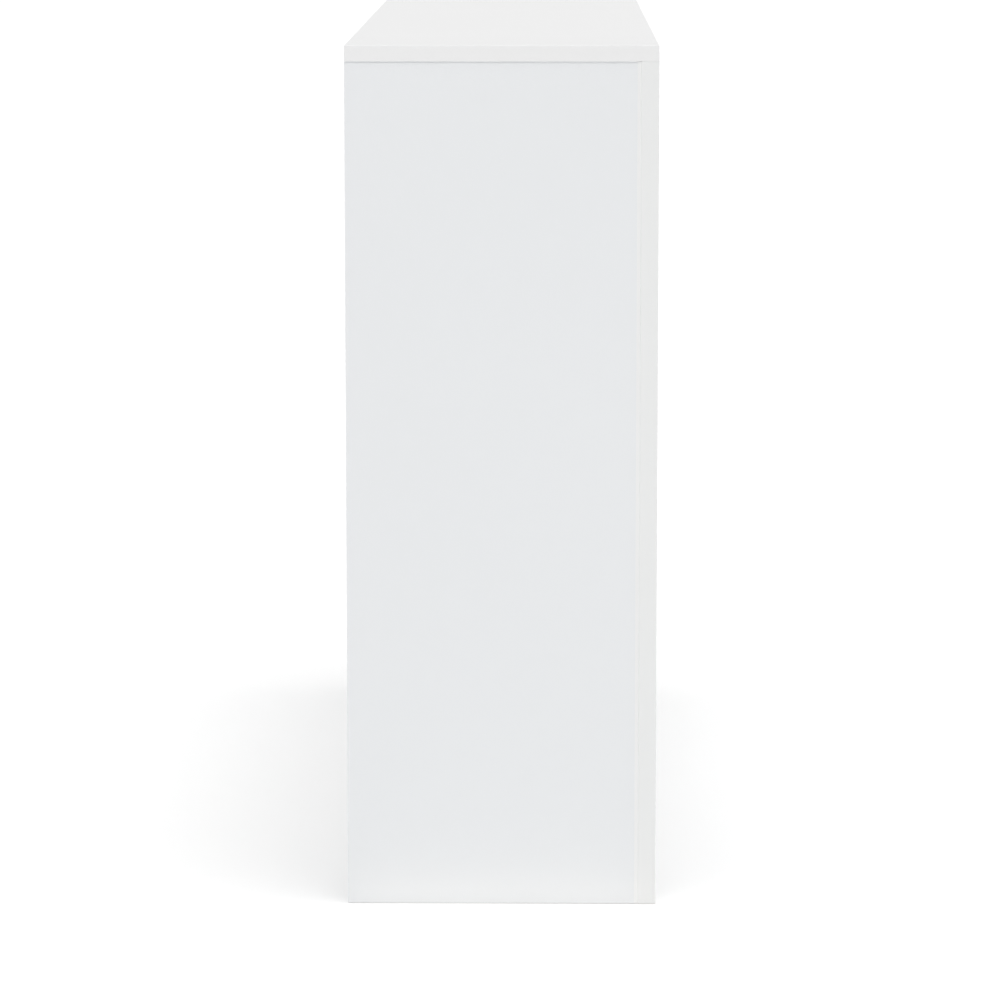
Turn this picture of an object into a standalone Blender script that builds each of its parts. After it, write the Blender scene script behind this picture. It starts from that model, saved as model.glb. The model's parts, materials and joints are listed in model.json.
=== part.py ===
"""Desk hutch: a cupboard with two inset doors over an open niche.

Width runs along X, depth along Y with the front at -Y, and height along Z.
The origin is on the desk top, under the middle of the hutch.
Left is -X and right is +X, as a person sees them who faces the front.
"""

import math

import bmesh
import bpy
from mathutils import Matrix, Vector

# Overall size, in metres.
WIDTH = 1.200
DEPTH = 0.316
HEIGHT = 0.880

# Board thicknesses and fits.
BOARD = 0.016  # carcass boards
FACE = 0.018  # front frame and doors
BACK_SHEET = 0.003  # hardboard behind the cupboard
FIT = 0.0003  # clearance between pieces that touch
OVERCUT = 0.002  # how far a cut starts outside the piece
ARRIS = 0.0005  # rounding of the board edges
TOP_ARRIS = 0.0010

# Carcass.
SIDE_INSET = 0.0008  # how far the side panels stand back from the ends of the top
SHADOW_LINE = (0.0018, 0.0007)  # height and depth of the groove under the top
FLOOR_TOP = 0.470  # top of the cupboard floor above the desk
STRETCHER = 0.080  # height of the rear stretcher
WALL_RAIL = 0.060  # height of the wall rails
WALL_HOLE = 0.0028  # radius of the wall screw holes

# Front frame.
STILE = 0.042
CENTER_STILE = 0.042
TOP_RAIL = 0.030
LOWER_RAIL = 0.040

# Doors.
DOOR_GAP = 0.0025  # reveal all round a door
DOOR_ARRIS = 0.0010
PIVOT_INSET = 0.006  # pivot axis from the door's front face and from its hinge edge
PIN_RADIUS = 0.0020
PIN_IN_DOOR = 0.0120
PIN_IN_BUSH = 0.0090
PIN_CHAMFER = 0.0004
BUSH_RADIUS = 0.0040
BUSH_BORE = 0.0023
BUSH_LENGTH = 0.0108
BUSH_FLANGE = (0.0054, 0.0010)  # radius and thickness

# Shelves and their pegs.
SHELF_UNDERSIDE = 0.660
SHELF_PLAY = 0.0015  # free space at each end of a shelf
SHELF_ROWS = (-0.095, 0.110)  # places of the peg rows along the depth
SHELF_FRONT = -0.122
SHELF_BACK = 0.148
PEG_PITCH = 0.032
PEG_STEPS = (-1, 0, 1)
PEG_SHANK = 0.0023
PEG_HOLE = 0.0026
PEG_HOLE_DEPTH = 0.0070
PEG_HEAD = 0.0030
PEG_REACH = 0.0100
PEG_CHAMFER = 0.0006

# Push latches.
LATCH_X = 0.075  # from the middle of the hutch
LATCH_BODY = (0.018, 0.070, 0.020)
LATCH_FOOT = (0.034, 0.003)  # width and thickness of the screwed foot
LATCH_FRONT_GAP = 0.0065  # from the door's back to the front of the housing
LATCH_RISE = 0.012  # plunger axis above the cupboard floor
LATCH_BORE = (0.0045, 0.045)  # radius and depth
LATCH_ARRIS = 0.0008
PLUNGER_RADIUS = 0.0040
PLUNGER_HEAD = 0.025
PLUNGER_DOME = (0.0020, 3)  # height and steps of the rounded tip
PLUNGER_TAIL = (0.0015, 0.017)  # radius and length
SPRING_RADIUS = 0.0029
SPRING_WIRE = 0.00035
SPRING_GAP = 0.0040  # free space behind the head, a little over the plunger's travel
SPRING_LENGTH = 0.0195
SPRING_TURNS = 4
STRIKE = (0.007, 0.0010)  # radius and thickness of the strike plate
STRIKE_CHAMFER = 0.0003

# Brackets that tie the feet of the niche to the desk.
BRACKET_LEG = 0.040
BRACKET_WIDTH = 0.030
BRACKET_PLATE = 0.002
BRACKET_Y = 0.105
BRACKET_HOLE = 0.0022
BRACKET_BEND_STEPS = 2
BRACKET_SCREW_HEIGHTS = (0.014, 0.030)
SCREW_SHANK = (0.0017, 0.0115)  # radius and length
SCREW_POINT = (0.0005, 0.0030)  # radius and length of the point
SCREW_HEAD = (0.0036, 0.0022)
SCREW_CROWN = (0.0020, 0.0009)  # radius of the flat crown and height of the rim
SCREW_SLOT = (0.0009, 0.0044, 0.0011)  # width, length and depth

# Cam fittings of the cupboard floor.
CAM_BACKSET = 0.034  # cam axis from the end of the floor
CAM_ROWS = (-0.090, 0.100)
CAM = (0.0072, 0.0120)  # radius and height
CAM_POCKET = (0.0075, 0.0125)
CAM_SLOT = (0.0020, 0.0100, 0.0025)  # width, length and depth
CAM_MOUTH = 0.0038  # radius of the opening that takes the bolt's head
CAM_BOLT = 0.0030
CAM_BOLT_NECK = 0.0019
CAM_BOLT_BORE = 0.0034
CAM_BOLT_HEAD = 0.0040
CAM_BOLT_GROOVE = 0.0050  # length of the neck behind the head
CAM_BOLT_IN_PANEL = 0.0105
CAM_BOLT_PLAY = 0.0010  # free depth of the panel's hole

# Sides of the round pieces.
ROUND = 20
SMALL_ROUND = 12
SPRING_STEPS = 8  # points in a turn of the spring

# Derived places.
END = WIDTH / 2
FRONT = -DEPTH / 2
BACK = DEPTH / 2
UNDER_TOP = HEIGHT - BOARD
FACE_BACK = FRONT + FACE
SIDE_OUTER = END - SIDE_INSET
SIDE_INNER = SIDE_OUTER - BOARD
FLOOR_UNDERSIDE = FLOOR_TOP - BOARD
SHEET_REAR = BACK - FIT
SHEET_FRONT = SHEET_REAR - BACK_SHEET
INNER_BACK = SHEET_FRONT - FIT
REBATE_WIDTH = BOARD / 2
OPENING_BOTTOM = FLOOR_TOP
OPENING_TOP = UNDER_TOP - TOP_RAIL
DOOR_BOTTOM = OPENING_BOTTOM + DOOR_GAP
DOOR_TOP = OPENING_TOP - DOOR_GAP
DOOR_OUTER = END - STILE - DOOR_GAP
DOOR_INNER = CENTER_STILE / 2 + DOOR_GAP
PIVOT_X = DOOR_OUTER - PIVOT_INSET
PIVOT_Y = FRONT + PIVOT_INSET
LATCH_FRONT = FACE_BACK + LATCH_FRONT_GAP
LATCH_Z = FLOOR_TOP + LATCH_RISE
STRIKE_BACK = FACE_BACK + FIT + STRIKE[1]
PEG_Z = SHELF_UNDERSIDE - FIT - PEG_HEAD
CAM_BOLT_Z = FLOOR_TOP - BOARD / 2

# Finishes: base colour, roughness, metallic value.
FINISHES = {
    "white_board": ((0.84, 0.845, 0.85), 0.45, 0.0),
    "white_hardboard": ((0.74, 0.74, 0.73), 0.65, 0.0),
    "zinc": ((0.62, 0.63, 0.64), 0.32, 1.0),
    "nylon": ((0.80, 0.80, 0.78), 0.40, 0.0),
    "latch_grey": ((0.52, 0.53, 0.54), 0.45, 0.0),
}

SIDES = (("left", -1), ("right", 1))


def clear_scene():
    for item in list(bpy.data.objects):
        bpy.data.objects.remove(item, do_unlink=True)


def new_collection(name):
    collection = bpy.data.collections.new(name)
    bpy.context.scene.collection.children.link(collection)
    return collection


def principled(name, finish):
    color, roughness, metallic = FINISHES[finish]
    material = bpy.data.materials.new(name)
    material.use_nodes = True
    shader = material.node_tree.nodes["Principled BSDF"]
    shader.inputs["Base Color"].default_value = (*color, 1.0)
    shader.inputs["Roughness"].default_value = roughness
    shader.inputs["Metallic"].default_value = metallic
    return material


def add_piece(name, data, finish, location, parent):
    """A named sub-part at a place in the world, with its own material, under an empty."""
    piece = bpy.data.objects.new(name, data)
    data.materials.append(principled(name + "_finish", finish))
    pieces.objects.link(piece)
    piece.parent = parent
    piece.location = Vector(location) - parent.location
    return piece


def add_pivot(name, location, parent=None):
    empty = bpy.data.objects.new(name, None)
    empty.empty_display_size = 0.05
    pieces.objects.link(empty)
    empty.parent = parent
    empty.location = location
    return empty


def cube_into(shape, x, y, z):
    """Adds a box to a bmesh between limits on each axis, given in either order."""
    low = Vector(min(pair) for pair in (x, y, z))
    high = Vector(max(pair) for pair in (x, y, z))
    middle = (low + high) / 2
    size = high - low
    matrix = Matrix.Translation(middle) @ Matrix.Diagonal((*size, 1.0))
    bmesh.ops.create_cube(shape, size=1.0, matrix=matrix)


def rod_into(shape, start, end, radius, sides):
    start, end = Vector(start), Vector(end)
    turn = (end - start).to_track_quat("Z", "Y").to_matrix().to_4x4()
    bmesh.ops.create_cone(
        shape,
        cap_ends=True,
        segments=sides,
        radius1=radius,
        radius2=radius,
        depth=(end - start).length,
        matrix=Matrix.Translation((start + end) / 2) @ turn,
    )


def to_mesh(name, shape):
    mesh = bpy.data.meshes.new(name)
    shape.to_mesh(mesh)
    shape.free()
    return mesh


def soften(piece, width, rounded=None):
    """Rounds the edges, or only those that rounded(middle, direction) picks in local axes."""
    bevel = piece.modifiers.new("arris", "BEVEL")
    bevel.width = width
    bevel.segments = 2
    bevel.limit_method = "ANGLE"
    bevel.angle_limit = math.radians(40)
    if rounded:
        bevel.limit_method = "WEIGHT"
        corners = piece.data.vertices
        weights = piece.data.attributes.new("bevel_weight_edge", "FLOAT", "EDGE")
        for edge in piece.data.edges:
            start, end = (corners[index].co for index in edge.vertices)
            weights.data[edge.index].value = float(rounded((start + end) / 2, end - start))


def is_upright(middle, direction):
    """Edges that run up and down: the ends of an upright stay square for a tight joint."""
    return abs(direction.z) > abs(direction.x) + abs(direction.y)


def is_level(middle, direction):
    """Edges that run across: the ends of a rail stay square for a tight joint."""
    return abs(direction.x) > abs(direction.y) + abs(direction.z)


def is_upper(middle, direction):
    """All but the lower edges, which stay square where the frame meets them."""
    return middle.z > 0.0 or is_upright(middle, direction)


def is_behind(middle, direction):
    """All but the front edges, which stay square where the front frame meets them."""
    return middle.y > 0.0 or abs(direction.y) > abs(direction.x) + abs(direction.z)


def board(name, x, y, z, parent, finish="white_board", arris=ARRIS, rounded=None, origin=None):
    """A box-shaped piece between world limits on each axis, with softened edges."""
    origin = Vector(origin) if origin else Vector((sum(x), sum(y), sum(z))) / 2
    shape = bmesh.new()
    cube_into(shape, x, y, z)
    bmesh.ops.translate(shape, verts=shape.verts, vec=-origin)
    piece = add_piece(name, to_mesh(name, shape), finish, origin, parent)
    if arris:
        soften(piece, arris, rounded)
    return piece


def extruded(name, outline, length):
    """A mesh with a flat outline in X and Y, drawn out along Z to both sides of the origin."""
    curve = bpy.data.curves.new(name, "CURVE")
    curve.dimensions = "2D"
    curve.fill_mode = "BOTH"
    curve.extrude = length / 2
    spline = curve.splines.new("POLY")
    spline.points.add(len(outline) - 1)
    for point, (x, y) in zip(spline.points, outline):
        point.co = (x, y, 0.0, 1.0)
    spline.use_cyclic_u = True
    guide = bpy.data.objects.new(f"{name}_outline", curve)
    cutters.objects.link(guide)
    evaluated = guide.evaluated_get(bpy.context.evaluated_depsgraph_get())
    shape = bmesh.new()
    shape.from_mesh(bpy.data.meshes.new_from_object(evaluated))
    bmesh.ops.remove_doubles(shape, verts=shape.verts, dist=0.00001)
    bpy.data.objects.remove(guide, do_unlink=True)
    return to_mesh(name, shape)


def cut(piece, name, shape):
    """Takes the closed shapes in a bmesh, given in world coordinates, out of a piece."""
    cutter = bpy.data.objects.new(name, to_mesh(name, shape))
    cutters.objects.link(cutter)
    cutter.hide_render = True
    cutter.display_type = "WIRE"
    modifier = piece.modifiers.new(name, "BOOLEAN")
    modifier.operation = "DIFFERENCE"
    modifier.solver = "EXACT"
    modifier.object = cutter


def drill(piece, name, bores, sides=SMALL_ROUND):
    """Bores are (start, end, radius), with the start outside the piece."""
    shape = bmesh.new()
    for start, end, radius in bores:
        rod_into(shape, start, end, radius, sides)
    cut(piece, name, shape)


def turned(name, profile, base, direction, finish, parent, steps=ROUND):
    """A turned piece. The profile is (radius, height) points from the top down the outside."""
    shape = bmesh.new()
    points = [shape.verts.new((radius, 0.0, height)) for radius, height in profile]
    for start, end in zip(points, points[1:]):
        shape.edges.new((start, end))
    if profile[0][0] > 0.0:
        shape.edges.new((points[-1], points[0]))
    piece = add_piece(name, to_mesh(name, shape), finish, base, parent)
    piece.rotation_euler = Vector(direction).to_track_quat("Z", "Y").to_euler()
    screw = piece.modifiers.new("turn", "SCREW")
    screw.axis = "Z"
    screw.steps = steps
    screw.render_steps = steps
    screw.use_merge_vertices = True
    screw.merge_threshold = 0.00001
    screw.use_smooth_shade = True
    return piece


def make_top(hutch):
    across, deep, high = (-END, END), (FRONT, BACK), (UNDER_TOP, HEIGHT)
    board("top_panel", across, deep, high, hutch, arris=TOP_ARRIS, rounded=is_upper)


def peg_hole_bores(face, into):
    """Both rows of peg holes in an upright face at x = face, drilled in direction into."""
    mouth = face - into * OVERCUT
    bottom = face + into * PEG_HOLE_DEPTH
    return [
        ((mouth, y, PEG_Z + step * PEG_PITCH), (bottom, y, PEG_Z + step * PEG_PITCH), PEG_HOLE)
        for y in SHELF_ROWS
        for step in PEG_STEPS
    ]


def make_side_panel(label, side, hutch):
    name = f"side_panel_{label}"
    panel = board(
        name,
        (side * SIDE_INNER, side * SIDE_OUTER),
        (FACE_BACK + FIT, BACK),
        (0.0, UNDER_TOP - FIT),
        hutch,
        rounded=is_behind,
    )
    height, depth = SHADOW_LINE
    through = (FRONT, BACK + OVERCUT)
    groove = bmesh.new()
    cube_into(groove, (side * (SIDE_OUTER - depth), side * END), through, (UNDER_TOP - height, HEIGHT))
    cut(panel, f"{name}_shadow_groove", groove)
    rebate = bmesh.new()
    cube_into(
        rebate,
        (side * (SIDE_INNER - OVERCUT), side * (SIDE_INNER + REBATE_WIDTH)),
        (INNER_BACK, BACK + OVERCUT),
        (FLOOR_UNDERSIDE, HEIGHT),
    )
    cut(panel, f"{name}_back_rebate", rebate)
    drill(panel, f"{name}_peg_holes", peg_hole_bores(side * SIDE_INNER, side))
    bolt_depth = CAM_BOLT_IN_PANEL + CAM_BOLT_PLAY
    bolts = [
        (
            (side * (SIDE_INNER - OVERCUT), y, CAM_BOLT_Z),
            (side * (SIDE_INNER + bolt_depth), y, CAM_BOLT_Z),
            CAM_BOLT_BORE,
        )
        for y in CAM_ROWS
    ]
    screws = [
        (
            (side * (SIDE_INNER - OVERCUT), BRACKET_Y, z),
            (side * (SIDE_INNER + SCREW_SHANK[1]), BRACKET_Y, z),
            SCREW_SHANK[0] + FIT,
        )
        for z in BRACKET_SCREW_HEIGHTS
    ]
    drill(panel, f"{name}_fixing_holes", bolts + screws)


def make_front_frame(hutch):
    for label, side in SIDES:
        board(
            f"front_stile_{label}",
            (side * (END - STILE), side * END),
            (FRONT, FACE_BACK),
            (0.0, UNDER_TOP - FIT),
            hutch,
            rounded=is_upright,
        )
    reach = END - STILE - FIT
    top_rail = board(
        "front_top_rail",
        (-reach, reach),
        (FRONT, FACE_BACK),
        (OPENING_TOP, UNDER_TOP - FIT),
        hutch,
        rounded=is_level,
    )
    lower_rail = board(
        "front_lower_rail",
        (-reach, reach),
        (FRONT, FACE_BACK),
        (OPENING_BOTTOM - LOWER_RAIL, OPENING_BOTTOM),
        hutch,
        rounded=is_level,
    )
    half = CENTER_STILE / 2
    board(
        "front_center_stile",
        (-half, half),
        (FRONT, FACE_BACK),
        (OPENING_BOTTOM + FIT, OPENING_TOP - FIT),
        hutch,
        rounded=is_upright,
    )
    for rail, edge, into in ((top_rail, OPENING_TOP, 1), (lower_rail, OPENING_BOTTOM, -1)):
        seats = [
            (
                (side * PIVOT_X, PIVOT_Y, edge - into * OVERCUT),
                (side * PIVOT_X, PIVOT_Y, edge + into * (BUSH_LENGTH + FIT)),
                BUSH_RADIUS + FIT,
            )
            for _, side in SIDES
        ]
        drill(rail, f"{rail.name}_bush_seats", seats, sides=ROUND)


def make_floor(hutch):
    end = SIDE_INNER - FIT
    floor = board(
        "cupboard_floor",
        (-end, end),
        (FACE_BACK + FIT, INNER_BACK),
        (FLOOR_UNDERSIDE, FLOOR_TOP),
        hutch,
        rounded=is_behind,
    )
    pockets = []
    bores = []
    for _, side in SIDES:
        for y in CAM_ROWS:
            x = side * (end - CAM_BACKSET)
            top = FLOOR_UNDERSIDE + CAM_POCKET[1]
            pockets.append(((x, y, FLOOR_UNDERSIDE - OVERCUT), (x, y, top), CAM_POCKET[0]))
            mouth = side * (end + OVERCUT)
            bores.append(((mouth, y, CAM_BOLT_Z), (x, y, CAM_BOLT_Z), CAM_BOLT_BORE))
    drill(floor, "cupboard_floor_cam_pockets", pockets, sides=ROUND)
    drill(floor, "cupboard_floor_bolt_bores", bores)


def make_cam_fitting(number, side, y, hutch):
    """A cam in the underside of the floor, and the bolt that it draws in from the side panel."""
    end = SIDE_INNER - FIT
    cam_x = side * (end - CAM_BACKSET)
    cam_base = FLOOR_UNDERSIDE + FIT
    radius, height = CAM
    cam = turned(
        f"cam_lock_{number}",
        ((0.0, height), (radius, height), (radius, 0.0), (0.0, 0.0)),
        (cam_x, y, cam_base),
        (0, 0, 1),
        "zinc",
        hutch,
    )
    outside = (cam_x + side * (radius + OVERCUT), y, CAM_BOLT_Z)
    inside = (cam_x - side * FIT, y, CAM_BOLT_Z)
    drill(cam, f"cam_lock_{number}_mouth", [(outside, inside, CAM_MOUTH)])
    width, length, depth = CAM_SLOT
    slot = bmesh.new()
    cube_into(
        slot,
        (cam_x - length / 2, cam_x + length / 2),
        (y - width / 2, y + width / 2),
        (cam_base - OVERCUT, cam_base + depth),
    )
    cut(cam, f"cam_lock_{number}_slot", slot)
    reach = CAM_BACKSET + FIT
    head = reach - CAM_BOLT_HEAD
    neck = head - CAM_BOLT_GROOVE
    profile = (
        (0.0, reach),
        (CAM_BOLT, reach),
        (CAM_BOLT, head),
        (CAM_BOLT_NECK, head),
        (CAM_BOLT_NECK, neck),
        (CAM_BOLT, neck),
        (CAM_BOLT, -CAM_BOLT_IN_PANEL),
        (0.0, -CAM_BOLT_IN_PANEL),
    )
    turned(
        f"cam_bolt_{number}",
        profile,
        (side * SIDE_INNER, y, CAM_BOLT_Z),
        (-side, 0, 0),
        "zinc",
        hutch,
        steps=SMALL_ROUND,
    )


def make_divider(hutch):
    half = BOARD / 2
    divider = board(
        "center_divider",
        (-half, half),
        (FACE_BACK + FIT, INNER_BACK),
        (FLOOR_TOP + FIT, UNDER_TOP - FIT),
        hutch,
        rounded=is_behind,
    )
    for label, side in SIDES:
        holes = peg_hole_bores(side * half, -side)
        drill(divider, f"center_divider_peg_holes_{label}", holes)


def make_back(label, side, hutch):
    """One half of the hardboard back, and the wall rail in front of its upper edge."""
    rail_bottom = UNDER_TOP - WALL_RAIL
    rail_end = SIDE_INNER - FIT
    rail_start = BOARD / 2 + FIT
    middle = side * (rail_start + rail_end) / 2
    height = rail_bottom + WALL_RAIL / 2
    start = (middle, INNER_BACK - BOARD - OVERCUT, height)
    hole = [(start, (middle, BACK + OVERCUT, height), WALL_HOLE)]
    sheet = board(
        f"back_sheet_{label}",
        (side * FIT, side * (SIDE_INNER + REBATE_WIDTH - FIT)),
        (SHEET_FRONT, SHEET_REAR),
        (FLOOR_UNDERSIDE + FIT, UNDER_TOP - FIT),
        hutch,
        finish="white_hardboard",
        arris=None,
    )
    drill(sheet, f"back_sheet_{label}_hole", hole)
    rail = board(
        f"wall_rail_{label}",
        (side * rail_start, side * rail_end),
        (INNER_BACK - BOARD, INNER_BACK),
        (rail_bottom, UNDER_TOP - FIT),
        hutch,
    )
    drill(rail, f"wall_rail_{label}_hole", hole)


def make_stretcher(hutch):
    reach = SIDE_INNER - FIT
    top = FLOOR_UNDERSIDE - FIT
    board("rear_stretcher", (-reach, reach), (BACK - BOARD, BACK), (top - STRETCHER, top), hutch)


def make_shelf(label, side, hutch):
    board(
        f"shelf_{label}",
        (side * (BOARD / 2 + SHELF_PLAY), side * (SIDE_INNER - SHELF_PLAY)),
        (SHELF_FRONT, SHELF_BACK),
        (SHELF_UNDERSIDE, SHELF_UNDERSIDE + BOARD),
        hutch,
    )
    walls = (("inner", side * BOARD / 2, side), ("outer", side * SIDE_INNER, -side))
    shank = PEG_HOLE_DEPTH - FIT
    profile = (
        (0.0, PEG_REACH),
        (PEG_HEAD - PEG_CHAMFER, PEG_REACH),
        (PEG_HEAD, PEG_REACH - PEG_CHAMFER),
        (PEG_HEAD, FIT),
        (PEG_SHANK, FIT),
        (PEG_SHANK, -shank),
        (0.0, -shank),
    )
    for wall, face, outward in walls:
        for row, y in zip(("front", "back"), SHELF_ROWS):
            turned(
                f"shelf_peg_{label}_{wall}_{row}",
                profile,
                (face, y, PEG_Z),
                (outward, 0, 0),
                "zinc",
                hutch,
                steps=SMALL_ROUND,
            )


def make_door(label, side, hutch):
    """A door with its pins and strike plate under a pivot, and the bushes in the rails."""
    pivot = add_pivot(f"door_{label}_pivot", (side * PIVOT_X, PIVOT_Y, DOOR_BOTTOM), hutch)
    door = board(
        f"door_{label}",
        (side * DOOR_INNER, side * DOOR_OUTER),
        (FRONT, FACE_BACK),
        (DOOR_BOTTOM, DOOR_TOP),
        pivot,
        arris=DOOR_ARRIS,
        origin=pivot.location,
    )
    ends = (("lower", DOOR_BOTTOM, OPENING_BOTTOM, 1), ("upper", DOOR_TOP, OPENING_TOP, -1))
    seats = [
        (
            (side * PIVOT_X, PIVOT_Y, edge - into * OVERCUT),
            (side * PIVOT_X, PIVOT_Y, edge + into * (PIN_IN_DOOR + FIT)),
            PIN_RADIUS + FIT,
        )
        for _, edge, _, into in ends
    ]
    drill(door, f"door_{label}_pin_seats", seats)
    outside = DOOR_GAP + PIN_IN_BUSH
    pin_profile = (
        (0.0, PIN_IN_DOOR),
        (PIN_RADIUS - PIN_CHAMFER, PIN_IN_DOOR),
        (PIN_RADIUS, PIN_IN_DOOR - PIN_CHAMFER),
        (PIN_RADIUS, PIN_CHAMFER - outside),
        (PIN_RADIUS - PIN_CHAMFER, -outside),
        (0.0, -outside),
    )
    flange_radius, flange = BUSH_FLANGE
    cup_floor = PIN_IN_BUSH + FIT
    bush_profile = (
        (0.0, -cup_floor),
        (BUSH_BORE, -cup_floor),
        (BUSH_BORE, FIT + flange),
        (flange_radius, FIT + flange),
        (flange_radius, FIT),
        (BUSH_RADIUS, FIT),
        (BUSH_RADIUS, -BUSH_LENGTH),
        (0.0, -BUSH_LENGTH),
    )
    for end, door_edge, rail_edge, into in ends:
        turned(
            f"pivot_pin_{label}_{end}",
            pin_profile,
            (side * PIVOT_X, PIVOT_Y, door_edge),
            (0, 0, into),
            "zinc",
            pivot,
            steps=SMALL_ROUND,
        )
        turned(
            f"pivot_bush_{label}_{end}",
            bush_profile,
            (side * PIVOT_X, PIVOT_Y, rail_edge),
            (0, 0, into),
            "nylon",
            hutch,
        )
    radius, thickness = STRIKE
    strike_profile = (
        (0.0, thickness),
        (radius - STRIKE_CHAMFER, thickness),
        (radius, thickness - STRIKE_CHAMFER),
        (radius, 0.0),
        (0.0, 0.0),
    )
    turned(
        f"strike_plate_{label}",
        strike_profile,
        (side * LATCH_X, FACE_BACK + FIT, LATCH_Z),
        (0, 1, 0),
        "zinc",
        pivot,
    )


def make_latch(label, side, hutch):
    """A push latch on the cupboard floor: housing, sprung plunger and coil spring."""
    width, length, height = LATCH_BODY
    foot_width, foot_height = LATCH_FOOT
    x = side * LATCH_X
    base = FLOOR_TOP + FIT
    outline = (
        (-foot_width / 2, 0.0),
        (foot_width / 2, 0.0),
        (foot_width / 2, foot_height),
        (width / 2, foot_height),
        (width / 2, height),
        (-width / 2, height),
        (-width / 2, foot_height),
        (-foot_width / 2, foot_height),
    )
    name = f"latch_housing_{label}"
    middle = (x, LATCH_FRONT + length / 2, base)
    housing = add_piece(name, extruded(name, outline, length), "latch_grey", middle, hutch)
    housing.rotation_euler.x = math.pi / 2
    soften(housing, LATCH_ARRIS)
    bore_radius, bore_depth = LATCH_BORE
    start = (x, LATCH_FRONT - OVERCUT, LATCH_Z)
    bore = (start, (x, LATCH_FRONT + bore_depth, LATCH_Z), bore_radius)
    drill(housing, f"latch_bore_{label}", [bore], sides=ROUND)

    slide = add_pivot(f"latch_slide_{label}", (x, STRIKE_BACK + FIT, LATCH_Z), hutch)
    tail_radius, tail = PLUNGER_TAIL
    dome, steps = PLUNGER_DOME
    angles = [math.pi / 2 * step / steps for step in range(steps + 1)]
    profile = [(PLUNGER_RADIUS * math.sin(a), dome * (math.cos(a) - 1.0)) for a in angles]
    profile += [
        (PLUNGER_RADIUS, -PLUNGER_HEAD),
        (tail_radius, -PLUNGER_HEAD),
        (tail_radius, -PLUNGER_HEAD - tail),
        (0.0, -PLUNGER_HEAD - tail),
    ]
    turned(f"latch_plunger_{label}", profile, slide.location, (0, -1, 0), "nylon", slide)

    curve = bpy.data.curves.new(f"latch_spring_{label}", "CURVE")
    curve.dimensions = "3D"
    curve.bevel_depth = SPRING_WIRE
    curve.bevel_resolution = 2
    curve.use_fill_caps = True
    points = SPRING_TURNS * SPRING_STEPS
    spline = curve.splines.new("POLY")
    spline.points.add(points)
    for index, point in enumerate(spline.points):
        angle = 2 * math.pi * index / SPRING_STEPS
        along = SPRING_LENGTH * index / points
        point.co = (SPRING_RADIUS * math.cos(angle), along, SPRING_RADIUS * math.sin(angle), 1.0)
    start = slide.location + Vector((0.0, PLUNGER_HEAD + SPRING_GAP, 0.0))
    add_piece(f"latch_spring_{label}", curve, "zinc", start, hutch)


def make_bracket(label, side, hutch):
    """A bent steel angle in the rear corner of the niche, with the screws of its upright leg."""
    face = SIDE_INNER - FIT
    half = BRACKET_WIDTH / 2
    name = f"desk_bracket_{label}"
    shape = bmesh.new()
    outline = ((0.0, BRACKET_LEG), (0.0, 0.0), (-BRACKET_LEG, 0.0))
    near = [shape.verts.new((x, -half, z)) for x, z in outline]
    far = [shape.verts.new((x, half, z)) for x, z in outline]
    for index in range(len(outline) - 1):
        shape.faces.new((near[index], near[index + 1], far[index + 1], far[index]))
    bracket = add_piece(name, to_mesh(name, shape), "zinc", (side * face, BRACKET_Y, FIT), hutch)
    bracket.rotation_euler.z = 0.0 if side > 0 else math.pi
    bend = bracket.modifiers.new("bend", "BEVEL")
    bend.width = BRACKET_PLATE
    bend.segments = BRACKET_BEND_STEPS
    plate = bracket.modifiers.new("plate", "SOLIDIFY")
    plate.thickness = BRACKET_PLATE
    plate.offset = -1.0
    plate.use_even_offset = True
    deep = BRACKET_PLATE + OVERCUT
    upright = [
        ((side * (face - deep), BRACKET_Y, z), (side * (face + OVERCUT), BRACKET_Y, z), BRACKET_HOLE)
        for z in BRACKET_SCREW_HEIGHTS
    ]
    flat = [
        ((side * (face - x), BRACKET_Y, -OVERCUT), (side * (face - x), BRACKET_Y, deep), BRACKET_HOLE)
        for x in BRACKET_SCREW_HEIGHTS
    ]
    drill(bracket, f"desk_bracket_{label}_holes", upright + flat)
    shank_radius, shank = SCREW_SHANK
    head_radius, head = SCREW_HEAD
    crown_radius, rim = SCREW_CROWN
    tip_radius, tip = SCREW_POINT
    seat = BRACKET_PLATE + 2 * FIT
    profile = (
        (0.0, seat + head),
        (crown_radius, seat + head),
        (head_radius, seat + rim),
        (head_radius, seat),
        (shank_radius, seat),
        (shank_radius, FIT + tip - shank),
        (tip_radius, FIT - shank),
        (0.0, FIT - shank),
    )
    width, length, depth = SCREW_SLOT
    for place, z in zip(("lower", "upper"), BRACKET_SCREW_HEIGHTS):
        screw = turned(
            f"bracket_screw_{label}_{place}",
            profile,
            (side * SIDE_INNER, BRACKET_Y, z),
            (-side, 0, 0),
            "zinc",
            hutch,
            steps=SMALL_ROUND,
        )
        crown = SIDE_INNER - seat - head
        for number, (across, up) in enumerate(((width, length), (length, width))):
            slot = bmesh.new()
            cube_into(
                slot,
                (side * (crown - OVERCUT), side * (crown + depth)),
                (BRACKET_Y - across / 2, BRACKET_Y + across / 2),
                (z - up / 2, z + up / 2),
            )
            cut(screw, f"{screw.name}_recess_{number}", slot)


clear_scene()
pieces = new_collection("desk_hutch")
cutters = new_collection("desk_hutch_cutters")
root = add_pivot("hutch", (0.0, 0.0, 0.0))
make_top(root)
make_front_frame(root)
make_floor(root)
make_divider(root)
make_stretcher(root)
for side_label, side_sign in SIDES:
    make_side_panel(side_label, side_sign, root)
    make_back(side_label, side_sign, root)
    make_shelf(side_label, side_sign, root)
    make_door(side_label, side_sign, root)
    make_latch(side_label, side_sign, root)
    make_bracket(side_label, side_sign, root)
corners = [(sign, y) for _, sign in SIDES for y in CAM_ROWS]
for cam_number, (cam_side, cam_y) in enumerate(corners, start=1):
    make_cam_fitting(cam_number, cam_side, cam_y, root)
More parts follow.
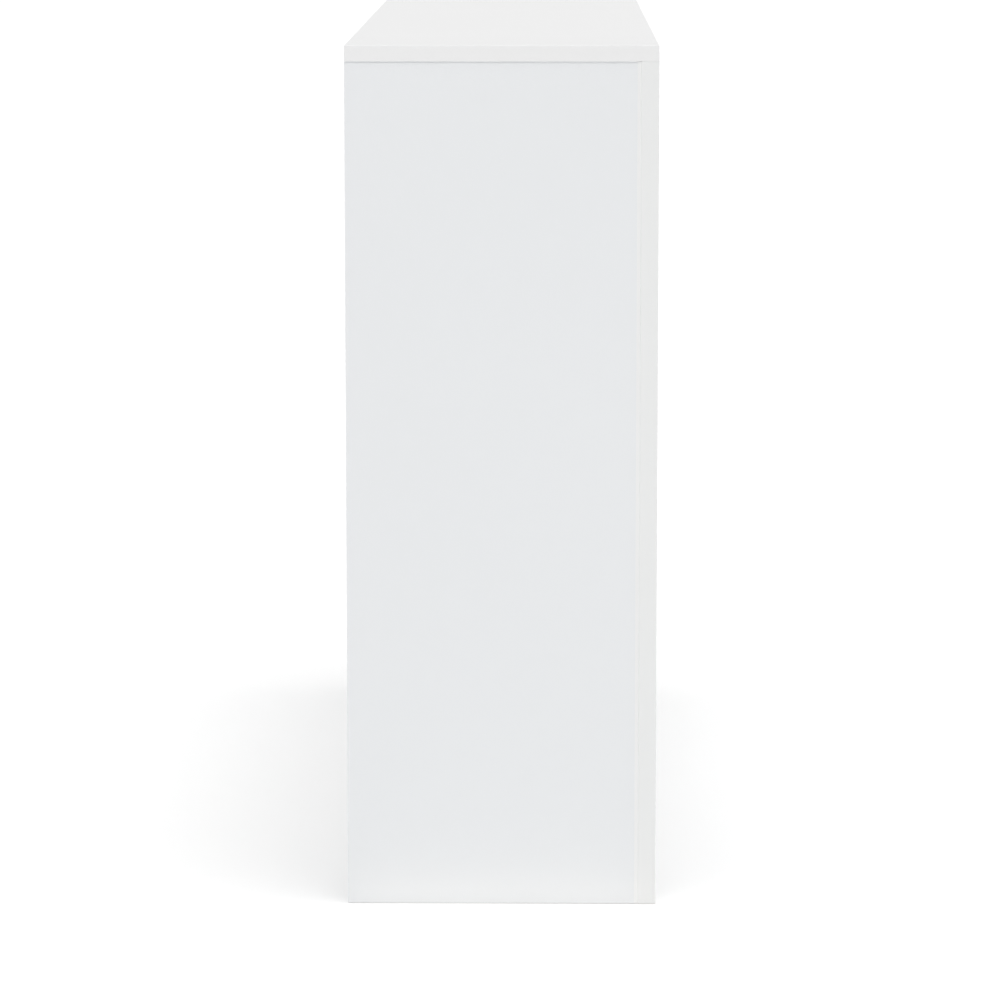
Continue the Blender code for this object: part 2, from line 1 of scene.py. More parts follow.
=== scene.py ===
"""Looks of the desk hutch: board, metal and plastic materials, small trim, light and camera.

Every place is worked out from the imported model's own nodes. Left is -X, right is +X, the front is -Y.
Lengths are in metres, and a texture's scale is about its cells in a metre.
"""

import json
import math

import bmesh
import bpy
from mathutils import Matrix, Vector


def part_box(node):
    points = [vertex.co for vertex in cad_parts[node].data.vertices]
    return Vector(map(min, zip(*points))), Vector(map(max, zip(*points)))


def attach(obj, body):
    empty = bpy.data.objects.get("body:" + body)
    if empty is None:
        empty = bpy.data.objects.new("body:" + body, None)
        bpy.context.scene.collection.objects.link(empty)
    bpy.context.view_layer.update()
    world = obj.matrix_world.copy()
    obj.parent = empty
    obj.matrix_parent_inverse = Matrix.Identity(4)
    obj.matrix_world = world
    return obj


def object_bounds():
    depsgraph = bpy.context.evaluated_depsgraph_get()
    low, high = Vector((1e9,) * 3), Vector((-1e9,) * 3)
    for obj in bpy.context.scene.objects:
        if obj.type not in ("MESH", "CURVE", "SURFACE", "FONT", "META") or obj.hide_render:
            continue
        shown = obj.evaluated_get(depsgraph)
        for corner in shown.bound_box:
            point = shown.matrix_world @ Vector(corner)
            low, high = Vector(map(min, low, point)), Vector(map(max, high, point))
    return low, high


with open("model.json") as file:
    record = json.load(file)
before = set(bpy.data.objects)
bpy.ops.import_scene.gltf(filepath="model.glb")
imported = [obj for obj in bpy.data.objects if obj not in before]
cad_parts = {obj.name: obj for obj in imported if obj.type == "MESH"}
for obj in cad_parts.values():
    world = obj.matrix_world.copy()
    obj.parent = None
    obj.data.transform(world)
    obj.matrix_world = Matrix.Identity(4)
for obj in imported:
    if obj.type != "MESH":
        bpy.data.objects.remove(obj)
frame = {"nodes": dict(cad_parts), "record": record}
cad_low, cad_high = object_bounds()
nodes = frame["nodes"]
slot_of = {part["node"]: part["material_slot"] for part in frame["record"]["subparts"]}
SIDES = (("left", -1), ("right", 1))


# ---------------------------------------------------------------- material recipes

# Sockets of a colour Mix node, whose names repeat for each data type.
MIX_A, MIX_B, MIX_RESULT = 6, 7, 2

NOISE_LOW, NOISE_HIGH = 0.3, 0.7  # most of a noise texture's values lie between these
EDGE_DOT, FLAT_DOT = 0.80, 0.995  # dot products of the true and the bevelled normal
CORE_FADE = 0.0001  # distance over which a board's finish gives way to its core


def shade(colour, factor):
    return tuple(channel * factor for channel in colour)


class Recipe:
    """A node material that is built up one texture at a time."""

    def __init__(self, name):
        self.material = bpy.data.materials.new(name)
        self.material.use_nodes = True
        self.tree = self.material.node_tree
        self.shader = self.tree.nodes["Principled BSDF"]
        self.places = self.add("ShaderNodeTexCoord").outputs["Object"]

    def add(self, kind, **settings):
        node = self.tree.nodes.new(kind)
        for key, value in settings.items():
            setattr(node, key, value)
        return node

    def feed(self, node, inputs):
        """Links or sets a node's inputs, from a dict of socket name or number to value."""
        for key, value in inputs.items():
            if isinstance(value, bpy.types.NodeSocket):
                self.tree.links.new(value, node.inputs[key])
            else:
                node.inputs[key].default_value = value
        return node

    def surface(self, inputs):
        self.feed(self.shader, inputs)

    def stretched(self, scale):
        mapping = self.add("ShaderNodeMapping")
        return self.feed(mapping, {"Vector": self.places, "Scale": scale}).outputs["Vector"]

    def noise(self, scale, detail, places=None):
        texture = self.add("ShaderNodeTexNoise")
        inputs = {"Vector": places or self.places, "Scale": scale, "Detail": detail}
        return self.feed(texture, inputs).outputs["Fac"]

    def cells(self, scale, places=None):
        texture = self.add("ShaderNodeTexVoronoi", feature="SMOOTH_F1")
        inputs = {"Vector": places or self.places, "Scale": scale}
        return self.feed(texture, inputs).outputs["Distance"]

    def flakes(self, scale, places):
        """A value that is the same all over a flake and differs from flake to flake."""
        texture = self.feed(self.add("ShaderNodeTexVoronoi"), {"Vector": places, "Scale": scale})
        split = self.feed(self.add("ShaderNodeSeparateColor"), {"Color": texture.outputs["Color"]})
        return split.outputs["Red"]

    def axes(self, vector):
        """The X, Y and Z outputs of a vector."""
        return self.feed(self.add("ShaderNodeSeparateXYZ"), {"Vector": vector}).outputs

    def span(self, value, low, high, start=NOISE_LOW, end=NOISE_HIGH):
        """Maps a value from start..end to low..high, and holds it there."""
        inputs = {"Value": value, "From Min": start, "From Max": end, "To Min": low, "To Max": high}
        return self.feed(self.add("ShaderNodeMapRange"), inputs).outputs["Result"]

    def maths(self, operation, first, second):
        node = self.add("ShaderNodeMath", operation=operation)
        return self.feed(node, {0: first, 1: second}).outputs["Value"]

    def inside(self, low, high):
        """1 in the box between two corners and 0 outside it."""
        place = self.axes(self.places)
        share = 1.0
        for axis, start, end in zip("XYZ", low, high):
            over = self.span(place[axis], 0.0, 1.0, start, start + CORE_FADE)
            under = self.span(place[axis], 1.0, 0.0, end - CORE_FADE, end)
            share = self.maths("MULTIPLY", share, self.maths("MULTIPLY", over, under))
        return share

    def mix(self, share, first, second):
        """A colour between two, each a socket or a tuple of red, green and blue."""
        colours = [(*c, 1.0) if isinstance(c, tuple) else c for c in (first, second)]
        node = self.add("ShaderNodeMix", data_type="RGBA")
        self.feed(node, {"Factor": share, MIX_A: colours[0], MIX_B: colours[1]})
        return node.outputs[MIX_RESULT]

    def mottled(self, value, colour, low, high):
        """A colour whose lightness goes from low to high times its own with a noise value."""
        return self.mix(self.span(value, 0.0, 1.0), shade(colour, low), shade(colour, high))

    def bump(self, height, distance, under=None):
        inputs = {"Height": height, "Distance": distance, "Strength": 1.0}
        if under:
            inputs["Normal"] = under
        return self.feed(self.add("ShaderNodeBump"), inputs).outputs["Normal"]

    def edge_share(self, radius):
        """Near 1 on a sharp or rounded edge and 0 on the flat, from how far a bevel turns the normal."""
        bevel = self.feed(self.add("ShaderNodeBevel", samples=4), {"Radius": radius})
        flat = self.add("ShaderNodeNewGeometry").outputs["Normal"]
        dot = self.add("ShaderNodeVectorMath", operation="DOT_PRODUCT")
        self.feed(dot, {0: bevel.outputs["Normal"], 1: flat})
        return self.span(dot.outputs["Value"], 1.0, 0.0, EDGE_DOT, FLAT_DOT)


# ---------------------------------------------------------------- board

# Textures of the white finish: a noise's scale and detail, and the scale of the pearl's cells.
CLOUDS = (2.2, 3.0)
FLECKS = (420.0, 2.0)
ARRIS_WEAR_AND_SHADE_PATCHES = (38.0, 4.0)
DULL_PATCHES = (9.0, 4.0)
PRESS_WAVES = (55.0, 2.0)
PEARL = 900.0

BOARD_ROUGHNESS = (0.39, 0.45)
CLOUD_TONES = (0.990, 1.004)  # a tone is a share of the colour's own lightness
FLECK_TONE = 0.992
FLECK_SHARE = 0.5
# Darkening of the arrises: partly wear, partly painted shade that tones down their highlight.
ARRIS_WEAR_AND_SHADE_TONE = 0.955
ARRIS_WEAR_AND_SHADE_SHARE = (0.1, 0.8)
SCUFF_DULLING = 0.12
ARRIS_WIDTH = 0.0009
PEARL_DEPTH = 0.000035
WAVE_DEPTH = 0.00006

# The chipboard inside.
RAW_FOOT = (0.00003, 0.00012)  # heights over which bare chipboard gives way to the finish
CORE_SKIN = Vector((0.0009, 0.0009, 0.0030))  # depth of the finish, grooves and arrises on each axis
CHIPS = 720.0
CHIP_STRETCH = (1.0, 0.45, 1.0)
CHIP_DARK = (0.43, 0.33, 0.22)
CHIP_PALE = (0.62, 0.51, 0.37)
CHIP_DEPTH = 0.0002
CHIP_ROUGHNESS = 0.9


def board_material(name, colour, core=None):
    """White melamine board: pearl grain, faint clouding, and dull arrises with wear and painted shade.

    The ends that stand on the desk have no edge band, and show the chips inside. So do the bores in
    the core, which is the lowest and highest corner of what lies under the board's surface.
    """
    recipe = Recipe(name)
    base = recipe.mottled(recipe.noise(*CLOUDS), colour, *CLOUD_TONES)
    fleck = recipe.span(recipe.noise(*FLECKS), 0.0, 1.0)
    base = recipe.mix(recipe.maths("MULTIPLY", fleck, FLECK_SHARE), base, shade(colour, FLECK_TONE))
    # Painted shade and wear: the arrises are darkened in patches, partly to tone down their highlight.
    arris_wear_and_shade = recipe.span(recipe.noise(*ARRIS_WEAR_AND_SHADE_PATCHES), *ARRIS_WEAR_AND_SHADE_SHARE)
    arris_wear_and_shade = recipe.maths("MULTIPLY", recipe.edge_share(ARRIS_WIDTH), arris_wear_and_shade)
    base = recipe.mix(arris_wear_and_shade, base, shade(colour, ARRIS_WEAR_AND_SHADE_TONE))
    roughness = recipe.span(recipe.noise(*DULL_PATCHES), *BOARD_ROUGHNESS)
    roughness = recipe.maths("ADD", roughness, recipe.maths("MULTIPLY", arris_wear_and_shade, SCUFF_DULLING))
    relief = recipe.bump(recipe.cells(PEARL), PEARL_DEPTH)
    relief = recipe.bump(recipe.noise(*PRESS_WAVES), WAVE_DEPTH, relief)

    raw = recipe.span(recipe.axes(recipe.places)["Z"], 1.0, 0.0, *RAW_FOOT)
    if core:
        raw = recipe.maths("MAXIMUM", raw, recipe.inside(*core))
    flake = recipe.flakes(CHIPS, recipe.stretched(CHIP_STRETCH))
    base = recipe.mix(raw, base, recipe.mix(flake, CHIP_DARK, CHIP_PALE))
    roughness = recipe.maths("MAXIMUM", roughness, recipe.maths("MULTIPLY", raw, CHIP_ROUGHNESS))
    relief = recipe.bump(recipe.maths("MULTIPLY", flake, raw), CHIP_DEPTH, relief)

    recipe.surface({"Base Color": base, "Roughness": roughness, "Normal": relief})
    recipe.surface({"Coat Weight": 0.08, "Coat Roughness": 0.22, "IOR": 1.48})
    return recipe.material


# ---------------------------------------------------------------- hardboard and filler

FIBRE = (150.0, 6.0)
FIBRE_TONES = (0.97, 1.01)
FIBRE_STRETCH = (1.0, 1.0, 2.2)
FIBRE_DEPTH = 0.00004
LACQUER_PATCHES = (20.0, 3.0)
LACQUER_ROUGHNESS = (0.56, 0.66)
REAR_FACING = (0.4, 0.6)  # how far a normal points to the rear where the lacquer ends
MOTTLE = (240.0, 6.0)
RAW_DARK = (0.715, 0.712, 0.700)
RAW_PALE = (0.748, 0.745, 0.733)
MESH_PRINT = 520.0
MESH_STRETCH = (1.0, 0.2, 1.0)
MESH_DEPTH = 0.00022


def hardboard_material(name, colour):
    """White lacquered hardboard: smooth lacquer over fibres, with the mesh print of its rear face."""
    recipe = Recipe(name)
    fibre = recipe.noise(*FIBRE, recipe.stretched(FIBRE_STRETCH))
    base = recipe.mottled(fibre, colour, *FIBRE_TONES)
    facing = recipe.axes(recipe.add("ShaderNodeNewGeometry").outputs["Normal"])
    raw = recipe.span(facing["Y"], 0.0, 1.0, *REAR_FACING)
    mottle = recipe.span(recipe.noise(*MOTTLE), 0.0, 1.0)
    base = recipe.mix(raw, base, recipe.mix(mottle, RAW_DARK, RAW_PALE))
    mesh_print = recipe.cells(MESH_PRINT, recipe.stretched(MESH_STRETCH))
    relief = recipe.bump(recipe.maths("MULTIPLY", mesh_print, raw), MESH_DEPTH)
    relief = recipe.bump(fibre, FIBRE_DEPTH, relief)
    roughness = recipe.span(recipe.noise(*LACQUER_PATCHES), *LACQUER_ROUGHNESS)
    recipe.surface({"Base Color": base, "Roughness": roughness, "Normal": relief})
    return recipe.material


SMEAR = (90.0, 2.0)
SMEAR_TONES = (0.995, 1.005)
SMEAR_STRETCH = (1.0, 1.0, 0.12)
SMEAR_DEPTH = 0.00005
FILLER_PATCHES = (60.0, 3.0)
FILLER_ROUGHNESS = (0.58, 0.68)


def filler_material(name, colour):
    """Painter's filler: matt, with the faint ripple that a finger leaves."""
    recipe = Recipe(name)
    smear = recipe.noise(*SMEAR, recipe.stretched(SMEAR_STRETCH))
    base = recipe.mottled(smear, colour, *SMEAR_TONES)
    roughness = recipe.span(recipe.noise(*FILLER_PATCHES), *FILLER_ROUGHNESS)
    relief = recipe.bump(smear, SMEAR_DEPTH)
    recipe.surface({"Base Color": base, "Roughness": roughness, "Normal": relief})
    return recipe.material


# ---------------------------------------------------------------- metal and plastic

TARNISH = (180.0, 4.0)
TARNISH_TONE = 0.86
DRAWN_LINES = (900.0, 2.0)
DRAWN_DEPTH = 0.000008
SMOOTHER, ROUGHER = 0.06, 0.08  # how far the lines take the roughness down and up


def metal_material(name, colour, roughness, grain=(1.0, 1.0, 1.0)):
    """Bright plated metal: fine lines along the axis where the grain is small, and a little tarnish."""
    recipe = Recipe(name)
    tarnish = recipe.span(recipe.noise(*TARNISH), 0.0, 1.0)
    base = recipe.mix(tarnish, colour, shade(colour, TARNISH_TONE))
    drawn = recipe.noise(*DRAWN_LINES, recipe.stretched(grain))
    patches = recipe.span(drawn, roughness - SMOOTHER, roughness + ROUGHER)
    relief = recipe.bump(drawn, DRAWN_DEPTH)
    recipe.surface({"Base Color": base, "Roughness": patches, "Normal": relief, "Metallic": 1.0})
    return recipe.material


SPECKS = (260.0, 3.0)
SPECK_TONES = (0.97, 1.02)
MOULD_GRAIN = (2600.0, 1.0)
RUBBED_WIDTH = 0.0006
RUBBED_SHARE = 0.4
RUBBED_TONE = 1.08
HANDLED_PATCHES = (70.0, 3.0)
HANDLED_SPREAD = 0.04


def plastic_material(name, colour, roughness, depth):
    """Moulded plastic with a spark-eroded grain of the given depth, and paler, rubbed edges."""
    recipe = Recipe(name)
    base = recipe.mottled(recipe.noise(*SPECKS), colour, *SPECK_TONES)
    rubbed = recipe.maths("MULTIPLY", recipe.edge_share(RUBBED_WIDTH), RUBBED_SHARE)
    base = recipe.mix(rubbed, base, shade(colour, RUBBED_TONE))
    handled = recipe.noise(*HANDLED_PATCHES)
    patches = recipe.span(handled, roughness - HANDLED_SPREAD, roughness + HANDLED_SPREAD)
    relief = recipe.bump(recipe.noise(*MOULD_GRAIN), depth)
    recipe.surface({"Base Color": base, "Roughness": patches, "Normal": relief, "IOR": 1.49})
    return recipe.material


# ---------------------------------------------------------------- which piece has which finish

WHITE = (0.858, 0.858, 0.858)
# Painted shade: the side panels' white is darker and cooler, standing in for how their faces are lit.
SHADED_SIDE_WHITE = (0.830, 0.844, 0.857)  # the side panels are a little cooler than the other boards
FRONT_WHITE = (0.841, 0.848, 0.844)

BORED = ("side_panel_left", "side_panel_right", "center_divider", "cupboard_floor")
FRONT_PIECES = ("front_", "door_")  # starts of the names of the front frame and the doors

materials = {
    "white_board": board_material("white_melamine", WHITE),
    "front_board": board_material("white_melamine_front", FRONT_WHITE),
    # Painted light: the filler is a little whiter than the boards, to lift the shade in the seams it
    # fills.
    "filler_with_painted_light": filler_material("filler_with_painted_light", (0.864, 0.868, 0.865)),
    "white_hardboard": hardboard_material("white_hardboard", (0.80, 0.80, 0.79)),
    "bright_steel": metal_material("zinc_plated_steel", (0.66, 0.67, 0.68), 0.27, (1.0, 1.0, 0.1)),
    "spring_steel": metal_material("spring_wire", (0.42, 0.43, 0.44), 0.30),
    "cast_zinc": metal_material("die_cast_zinc", (0.56, 0.57, 0.58), 0.40),
    "bracket_steel": metal_material("plated_sheet", (0.64, 0.65, 0.66), 0.32, (0.1, 1.0, 1.0)),
    "white_nylon": plastic_material("white_nylon", (0.80, 0.80, 0.77), 0.38, 0.00001),
    "latch_housing": plastic_material("grey_latch_plastic", (0.50, 0.51, 0.52), 0.46, 0.00003),
}


def bored_board(node_name):
    """The finish of a board whose bores show its core."""
    low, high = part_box(node_name)
    # The side panels take the darker, cooler white, which is painted shade of their faces.
    colour = SHADED_SIDE_WHITE if node_name.startswith("side_panel") else WHITE
    return board_material(f"white_melamine_{node_name}", colour, (low + CORE_SKIN, high - CORE_SKIN))


def finish(node_name):
    if node_name in BORED:
        return bored_board(node_name)
    if node_name.startswith(FRONT_PIECES):
        return materials["front_board"]
    return materials[slot_of[node_name]]


for node_name, node in nodes.items():
    node.data.materials.clear()
    node.data.materials.append(finish(node_name))


# ---------------------------------------------------------------- making small pieces

SHARPEST_SMOOTH = math.radians(35.0)


def add_piece(name, shape, material):
    """A new piece from a bmesh in world coordinates, shaded smooth, which rides on the carcass."""
    bmesh.ops.recalc_face_normals(shape, faces=shape.faces)
    mesh = bpy.data.meshes.new(name)
    shape.to_mesh(mesh)
    shape.free()
    mesh.shade_smooth()
    mesh.set_sharp_from_angle(angle=SHARPEST_SMOOTH)
    mesh.materials.append(materials[material])
    piece = bpy.data.objects.new(name, mesh)
    bpy.context.scene.collection.objects.link(piece)
    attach(piece, "carcass")


def plate_into(shape, x, y, z, arris):
    """Adds a thin box with softened edges between limits on each axis."""
    low = Vector(min(pair) for pair in (x, y, z))
    high = Vector(max(pair) for pair in (x, y, z))
    size = Matrix.Diagonal((*(high - low), 1.0))
    made = bmesh.ops.create_cube(shape, size=1.0, matrix=Matrix.Translation((low + high) / 2) @ size)
    edges = list({edge for vert in made["verts"] for edge in vert.link_edges})
    bmesh.ops.bevel(shape, geom=edges, offset=arris, segments=2, affect="EDGES", profile=0.5)


def prism_into(shape, outline, rise):
    """Adds a flat outline and raises a solid on it. The outline is points in order."""
    foot = shape.faces.new([shape.verts.new(point) for point in outline])
    grown = bmesh.ops.extrude_face_region(shape, geom=[foot])["geom"]
    raised = [item for item in grown if isinstance(item, bmesh.types.BMVert)]
    bmesh.ops.translate(shape, verts=raised, vec=(0.0, 0.0, rise))


def spun_into(shape, profile, place, axis, sides):
    """Adds a turned solid. The profile is (radius, height) points from the axis out and back to it."""
    turn = Matrix.Translation(place) @ Vector(axis).to_track_quat("Z", "Y").to_matrix().to_4x4()
    rings = []
    for radius, height in profile:
        if radius == 0.0:
            rings.append([shape.verts.new(turn @ Vector((0.0, 0.0, height)))])
            continue
        angles = (2 * math.pi * step / sides for step in range(sides))
        ring = [Vector((radius * math.cos(a), radius * math.sin(a), height)) for a in angles]
        rings.append([shape.verts.new(turn @ point) for point in ring])
    for lower, upper in zip(rings, rings[1:]):
        for step in range(sides):
            after = (step + 1) % sides
            corners = [
                lower[step % len(lower)],
                lower[after % len(lower)],
                upper[after % len(upper)],
                upper[step % len(upper)],
            ]
            shape.faces.new(list(dict.fromkeys(corners)))


# ---------------------------------------------------------------- filler round the front stiles

FILL_INSET = 0.0002
FILL_ARRIS = 0.00004
GROOVE_DEPTH = 0.0007  # of the shadow line along a side panel's top
BEAD = (0.0003, 0.0038)  # height and width of the bead from a stile down to its side panel
BEAD_STEPS = 5


def inset(low, high):
    return low + FILL_INSET, high - FILL_INSET


def bead_into(shape, corner, side, top):
    """Adds the hollow bead in the corner between a stile and its side panel, up to a height."""
    height, width = BEAD
    outline = [corner]
    for step in range(BEAD_STEPS + 1):
        angle = math.pi / 2 * step / BEAD_STEPS
        rise = side * height * (1.0 - math.sin(angle))
        outline.append(corner + Vector((rise, width * (1.0 - math.cos(angle)), 0.0)))
    prism_into(shape, outline, top - corner.z)


def fill_stile_joints(label, side):
    """Fills the hairlines over and behind a stile, and over its side panel, and adds the bead."""
    stile_low, stile_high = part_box(f"front_stile_{label}")
    panel_low, panel_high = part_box(f"side_panel_{label}")
    top_low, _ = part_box("top_panel")
    over_stile = inset(stile_low.x, stile_high.x), inset(stile_low.y, stile_high.y)
    behind_stile = inset(panel_low.x, panel_high.x), (stile_high.y, panel_low.y)
    outer, inner = (panel_high.x, panel_low.x) if side > 0 else (panel_low.x, panel_high.x)
    over_panel = (outer - side * (GROOVE_DEPTH + FILL_ARRIS), inner), inset(panel_low.y, panel_high.y)
    shape = bmesh.new()
    plate_into(shape, *over_stile, (stile_high.z, top_low.z), FILL_ARRIS)
    plate_into(shape, *behind_stile, (FILL_INSET, stile_high.z), FILL_ARRIS)
    plate_into(shape, *over_panel, (panel_high.z, top_low.z), FILL_ARRIS)
    bead_into(shape, Vector((outer, stile_high.y, FILL_INSET)), side, stile_high.z)
    # The filler's whiter colour is painted light that lifts the shade in these joints and the shadow
    # line.
    add_piece(f"joint_fill_{label}", shape, "filler_with_painted_light")


# ---------------------------------------------------------------- nails in the hardboard

NAIL_HEAD = (0.0016, 0.00025)  # radius and height
NAIL_CROWN = 0.7  # the flat crown's share of the radius
NAIL_RIM = 0.4  # the rim's share of the height
NAIL_SIDES = 12
NAIL_PITCH = 0.095
NAIL_FROM_EDGE = 0.004


def spread(start, end, pitch):
    """Even places from start to end, about a pitch apart."""
    gaps = max(1, round(abs(end - start) / pitch))
    return [start + (end - start) * step / gaps for step in range(gaps + 1)]


def nail_back_sheet(label):
    """Nails a hardboard sheet round its edge, low into the floor and high into the wall rail."""
    low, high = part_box(f"back_sheet_{label}")
    floor_low, floor_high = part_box("cupboard_floor")
    rail_low, rail_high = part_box(f"wall_rail_{label}")
    x_ends = (low.x + NAIL_FROM_EDGE, high.x - NAIL_FROM_EDGE)
    lower = (floor_low.z + floor_high.z) / 2
    upper = rail_high.z - (rail_high.z - rail_low.z) / 4
    places = [(x, z) for z in (lower, upper) for x in spread(*x_ends, NAIL_PITCH)]
    places += [(x, z) for x in x_ends for z in spread(lower, upper, NAIL_PITCH)[1:-1]]
    radius, height = NAIL_HEAD
    crown = ((0.0, height), (radius * NAIL_CROWN, height))
    rim = ((radius, height * NAIL_RIM), (radius, 0.0), (0.0, 0.0))
    shape = bmesh.new()
    for x, z in places:
        spun_into(shape, crown + rim, (x, high.y, z), (0, 1, 0), NAIL_SIDES)
    add_piece(f"back_nails_{label}", shape, "bright_steel")


# ---------------------------------------------------------------- screws in the push latches

LATCH_SCREW_FROM_END = 0.011
LATCH_FOOT_SHARE = 0.15  # the foot's thickness as a share of the housing's height
LATCH_BODY_SHARE = 1.1  # the housing's half width above its foot as a share of the plunger's width
PAN_HEAD = (0.0029, 0.0021)  # radius and height
PAN_STEPS = 6
PAN_SIDES = 24
RECESS = (0.0008, 0.0034, 0.0012)  # width, length and depth
SCREW_TURNS = (0.3, 1.1, 0.7, 1.4)  # radians that each screw's recess is turned
SAME_PLACE = 0.000002  # how near two corners that a cut leaves are one


def as_object(shape):
    bmesh.ops.recalc_face_normals(shape, faces=shape.faces)
    mesh = bpy.data.meshes.new("working")
    shape.to_mesh(mesh)
    shape.free()
    thing = bpy.data.objects.new("working", mesh)
    bpy.context.scene.collection.objects.link(thing)
    return thing


def cut_mesh(solid, cutter):
    """The mesh that is left when one closed bmesh is taken out of another."""
    solid, cutter = as_object(solid), as_object(cutter)
    modifier = solid.modifiers.new("cut", "BOOLEAN")
    modifier.solver = "EXACT"
    modifier.object = cutter
    evaluated = solid.evaluated_get(bpy.context.evaluated_depsgraph_get())
    mesh = bpy.data.meshes.new_from_object(evaluated)
    for thing in (solid, cutter):
        bpy.data.objects.remove(thing, do_unlink=True)
    return mesh


def pan_head():
    """A domed screw head with a cross recess, seated at the origin and facing up."""
    radius, height = PAN_HEAD
    angles = [math.pi / 2 * step / PAN_STEPS for step in range(PAN_STEPS)]
    dome = [(radius * math.sqrt(math.cos(a)), height * math.sin(a)) for a in angles]
    head = bmesh.new()
    spun_into(head, ((0.0, 0.0), *dome, (0.0, height)), (0.0, 0.0, 0.0), (0, 0, 1), PAN_SIDES)
    width, length, depth = RECESS
    half, reach = width / 2, length / 2
    outline = []
    for quarter in range(4):
        turn = Matrix.Rotation(math.pi / 2 * quarter, 3, "Z")
        corners = ((reach, half), (half, half), (half, reach))
        outline += [turn @ Vector((x, y, height - depth)) for x, y in corners]
    cross = bmesh.new()
    prism_into(cross, outline, 2 * depth)
    return cut_mesh(head, cross)


def repeat_into(shape, mesh, places):
    """Adds a copy of a mesh at each 4 by 4 matrix."""
    for place in places:
        before = len(shape.verts)
        shape.from_mesh(mesh)
        shape.verts.ensure_lookup_table()
        bmesh.ops.transform(shape, matrix=place, verts=shape.verts[before:])


def screw_latch(label):
    """Puts a screw near each corner of a push latch's foot."""
    low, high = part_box(f"latch_housing_{label}")
    plunger_low, plunger_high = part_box(f"latch_plunger_{label}")
    middle = (low.x + high.x) / 2
    body = (plunger_high.x - plunger_low.x) * LATCH_BODY_SHARE
    across = (high.x - middle + body) / 2
    foot_top = low.z + (high.z - low.z) * LATCH_FOOT_SHARE
    rows = (low.y + LATCH_SCREW_FROM_END, high.y - LATCH_SCREW_FROM_END)
    spots = [(x, y, foot_top) for y in rows for x in (middle - across, middle + across)]
    places = [
        Matrix.Translation(spot) @ Matrix.Rotation(turn, 4, "Z")
        for spot, turn in zip(spots, SCREW_TURNS)
    ]
    shape = bmesh.new()
    repeat_into(shape, pan_head(), places)
    bmesh.ops.remove_doubles(shape, verts=shape.verts, dist=SAME_PLACE)
    add_piece(f"latch_screws_{label}", shape, "bright_steel")


for side_label, side_sign in SIDES:
    fill_stile_joints(side_label, side_sign)
    nail_back_sheet(side_label)
    screw_latch(side_label)


# ---------------------------------------------------------------- floor, light and camera

FLOOR_RADIUS = 40.0
FLOOR_SIDES = 96
FLOOR_DROP = 0.0002  # how far it lies under the feet
FLOOR_CLOUDS = (0.7, 2.0)
FLOOR_DARK = (0.930, 0.930, 0.930)
FLOOR_PALE = (0.940, 0.940, 0.940)
FLOOR_GLOW = 0.08

SKY_OVERHEAD = 0.59
SKY_HORIZON = 0.98
SKY_BAND = 0.30  # height of a direction, from 0 level to 1 upright, where the horizon's light ends

SUN_TOWARDS = (0.13, 0.07, -1.0)
SUN_STRENGTH = 1.55
SUN_WIDTH = math.radians(50.0)

# A low glow on the foot of the left end, such as a pale desk top throws up.
GLOW_BACK = 0.04
GLOW_HEIGHT = 0.004
GLOW_SIZE = (0.30, 0.006)
GLOW_POWER = 0.0060
GLOW_COLOUR = (1.0, 0.90, 0.76)

CAMERA_LENS = 161.3  # millimetres, as the sensor's width
SENSOR_WIDTH = 36.0
FARTHEST_SEEN = 200.0
CAMERA_BACK = 4.5
CAMERA_Y = -0.0469
CAMERA_HEIGHT = 1.0954
CAMERA_PITCH = math.radians(8.536)
CAMERA_YAW = math.radians(0.618)


def studio_floor():
    """A plain pale floor, wide enough to fill every view."""
    shape = bmesh.new()
    bmesh.ops.create_circle(shape, cap_ends=True, segments=FLOOR_SIDES, radius=FLOOR_RADIUS)
    mesh = bpy.data.meshes.new("studio_floor")
    shape.to_mesh(mesh)
    shape.free()
    floor = bpy.data.objects.new("studio_floor", mesh)
    floor.location.z = cad_low.z - FLOOR_DROP
    bpy.context.scene.collection.objects.link(floor)
    recipe = Recipe("pale_floor")
    tone = recipe.span(recipe.noise(*FLOOR_CLOUDS), 0.0, 1.0)
    base = recipe.mix(tone, FLOOR_DARK, FLOOR_PALE)
    recipe.surface({"Base Color": base, "Roughness": 0.9, "Specular IOR Level": 0.1})
    recipe.surface({"Emission Color": (1.0, 1.0, 1.0, 1.0), "Emission Strength": FLOOR_GLOW})
    mesh.materials.append(recipe.material)


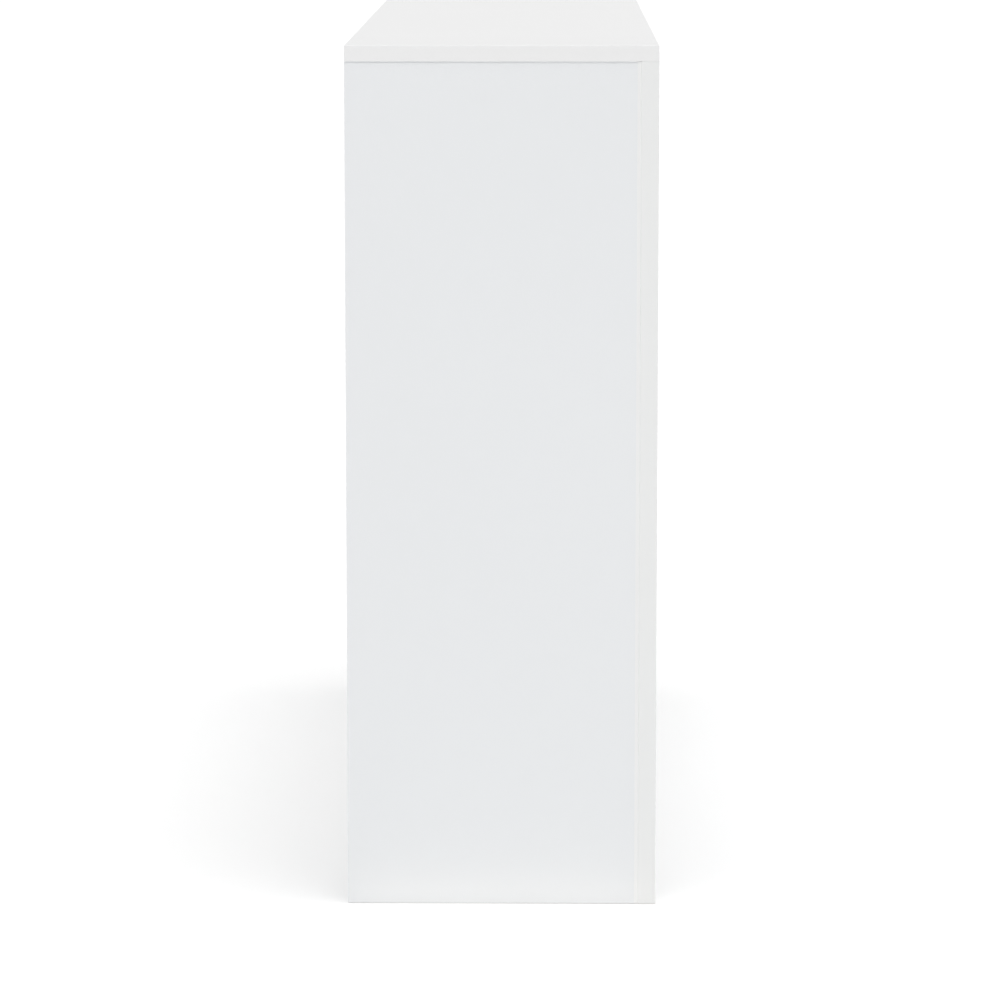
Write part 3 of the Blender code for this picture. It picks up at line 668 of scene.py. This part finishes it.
def studio_sky():
    """White light from all round, with a band above the horizon that has a strength of its own."""
    world = bpy.data.worlds.new("studio")
    world.use_nodes = True
    tree = world.node_tree
    split = tree.nodes.new("ShaderNodeSeparateXYZ")
    tree.links.new(tree.nodes.new("ShaderNodeTexCoord").outputs["Generated"], split.inputs["Vector"])
    fade = tree.nodes.new("ShaderNodeMapRange")
    fade.interpolation_type = "SMOOTHSTEP"
    tree.links.new(split.outputs["Z"], fade.inputs["Value"])
    for socket, value in (("From Max", SKY_BAND), ("To Min", SKY_HORIZON), ("To Max", SKY_OVERHEAD)):
        fade.inputs[socket].default_value = value
    background = tree.nodes["Background"]
    background.inputs["Color"].default_value = (1.0, 1.0, 1.0, 1.0)
    tree.links.new(fade.outputs["Result"], background.inputs["Strength"])
    bpy.context.scene.world = world


def add_lamp(name, kind, place, towards, strength):
    """A light at a place that points along a direction. Gives the light's own settings."""
    light = bpy.data.lights.new(name, kind)
    light.energy = strength
    lamp = bpy.data.objects.new(name, light)
    lamp.location = place
    lamp.rotation_euler = Vector(towards).to_track_quat("-Z", "Y").to_euler()
    bpy.context.scene.collection.objects.link(lamp)
    return lamp


def key_light():
    """Even light from far off, as through a big diffuser."""
    lamp = add_lamp("key_light", "SUN", (0.0, 0.0, 0.0), SUN_TOWARDS, SUN_STRENGTH)
    lamp.data.angle = SUN_WIDTH


def foot_light():
    place = (cad_low.x - GLOW_BACK, 0.0, cad_low.z + GLOW_HEIGHT)
    lamp = add_lamp("foot_light", "AREA", place, (1.0, 0.0, 0.0), GLOW_POWER)
    lamp.visible_camera = False
    light = lamp.data
    light.shape = "RECTANGLE"
    light.size, light.size_y = GLOW_SIZE
    light.color = GLOW_COLOUR


def side_camera():
    """Looks at the left end of the hutch from a little above its top and ahead of its middle."""
    camera = bpy.data.cameras.new("camera")
    camera.lens = CAMERA_LENS
    camera.sensor_width = SENSOR_WIDTH
    viewer = bpy.data.objects.new("camera", camera)
    viewer.location = (cad_low.x - CAMERA_BACK, CAMERA_Y, CAMERA_HEIGHT)
    level = math.cos(CAMERA_PITCH)
    ahead = (level * math.cos(CAMERA_YAW), level * math.sin(CAMERA_YAW), -math.sin(CAMERA_PITCH))
    viewer.rotation_euler = Vector(ahead).to_track_quat("-Z", "Y").to_euler()
    camera.clip_end = FARTHEST_SEEN
    bpy.context.scene.collection.objects.link(viewer)
    bpy.context.scene.camera = viewer


studio_floor()
studio_sky()
key_light()
foot_light()
side_camera()
bpy.context.scene.view_settings.view_transform = "Standard"
